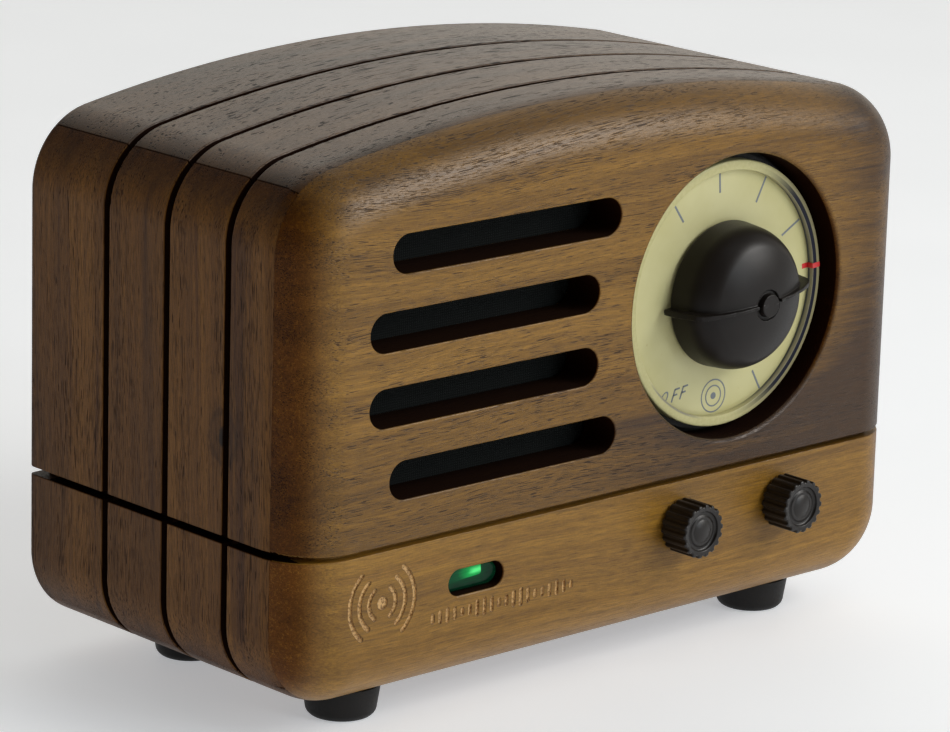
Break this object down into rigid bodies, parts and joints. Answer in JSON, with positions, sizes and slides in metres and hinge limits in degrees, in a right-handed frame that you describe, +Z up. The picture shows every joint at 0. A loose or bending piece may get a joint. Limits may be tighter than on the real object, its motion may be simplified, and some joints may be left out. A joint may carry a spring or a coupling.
{
  "type": "table-top loudspeaker",
  "caption": "Arched walnut table-top loudspeaker with slotted front, tuning dial with a domed knob, small control knobs and rubber feet.",
  "frame": {"origin": "on the surface the feet stand on, below the middle of the overall box", "axes": "+Z up, front face towards -Y, +X to the right seen from the front"},
  "size_m": [0.113, 0.0632, 0.0806],
  "materials": {
    "walnut": "satin",
    "dark_bakelite": "satin",
    "black_rubber": "matte",
    "zinc_steel": "satin",
    "black_steel": "satin",
    "grille_cloth": "matte",
    "fibreboard": "matte",
    "surround_foam": "matte",
    "spider_cloth": "matte",
    "cone_paper": "matte",
    "copper_wire": "satin",
    "ferrite": "matte",
    "black_plastic": "matte",
    "dial_print": "satin",
    "dial_ring": "gloss",
    "control_can": "satin",
    "green_lens": "gloss",
    "lamp_resin": "gloss",
    "circuit_board": "satin",
    "shield_tin": "satin",
    "nylon": "satin",
    "battery_sleeve": "satin",
    "red_lead": "satin",
    "black_lead": "satin"
  },
  "bodies": {
    "case": {"front_board": "walnut", "top_board": "walnut", "left_side_board": "walnut", "right_side_board": "walnut", "bottom_board": "walnut", "rear_panel": "walnut", "foot_1": "black_rubber", "foot_screw_1": "zinc_steel", "rear_panel_screw_1": "zinc_steel", "speaker_screw_1": "zinc_steel", "foot_2": "black_rubber", "foot_screw_2": "zinc_steel", "rear_panel_screw_2": "zinc_steel", "speaker_screw_2": "zinc_steel", "foot_3": "black_rubber", "foot_screw_3": "zinc_steel", "rear_panel_screw_3": "zinc_steel", "speaker_screw_3": "zinc_steel", "foot_4": "black_rubber", "foot_screw_4": "zinc_steel", "rear_panel_screw_4": "zinc_steel", "speaker_screw_4": "zinc_steel", "grille_cloth": "grille_cloth", "speaker_baffle": "fibreboard", "speaker_basket": "black_steel", "speaker_surround": "surround_foam", "speaker_spider": "spider_cloth", "speaker_top_plate": "zinc_steel", "speaker_magnet": "ferrite", "speaker_yoke": "zinc_steel", "dial_seat": "black_plastic", "dial_plate": "dial_print", "dial_ring": "dial_ring", "tuning_control": "control_can", "tuning_nut": "zinc_steel", "tone_control": "control_can", "volume_control": "control_can", "led_lens": "green_lens", "led_lamp": "lamp_resin", "control_board": "circuit_board", "main_board": "circuit_board", "radio_module": "shield_tin", "board_standoff_left": "nylon", "board_standoff_right": "nylon", "usb_socket": "shield_tin", "audio_jack": "black_plastic", "battery_cell": "battery_sleeve", "battery_cradle": "black_plastic", "speaker_lead": "red_lead", "battery_lead": "black_lead", "aerial_lead": "black_lead"},
    "tuning": {"tuning_knob": "dark_bakelite", "tuning_shaft": "zinc_steel"},
    "tone": {"tone_knob": "dark_bakelite", "tone_shaft": "zinc_steel"},
    "volume": {"volume_knob": "dark_bakelite", "volume_shaft": "zinc_steel"},
    "cone": {"speaker_cone": "cone_paper", "speaker_dust_cap": "cone_paper", "speaker_voice_coil": "copper_wire"}
  },
  "joints": [
    {"name": "tuning_turn", "type": "hinge", "parent": "case", "child": "tuning", "pos_m": [0.02175, -0.02535, 0.05025], "axis": [0, -1, 0], "range_deg": [-61, 235]},
    {"name": "tone_turn", "type": "hinge", "parent": "case", "child": "tone", "pos_m": [0.01185, -0.02535, 0.01966], "axis": [0, -1, 0], "range_deg": [-150, 150]},
    {"name": "volume_turn", "type": "hinge", "parent": "case", "child": "volume", "pos_m": [0.03155, -0.02535, 0.01966], "axis": [0, -1, 0], "range_deg": [-150, 150]},
    {"name": "cone_travel", "type": "slide", "parent": "case", "child": "cone", "axis": [0, -1, 0], "range_m": [-0.0008, 0.0008], "stiffness_N_per_m": 120, "deforming": ["speaker_surround", "speaker_spider"]}
  ]
}
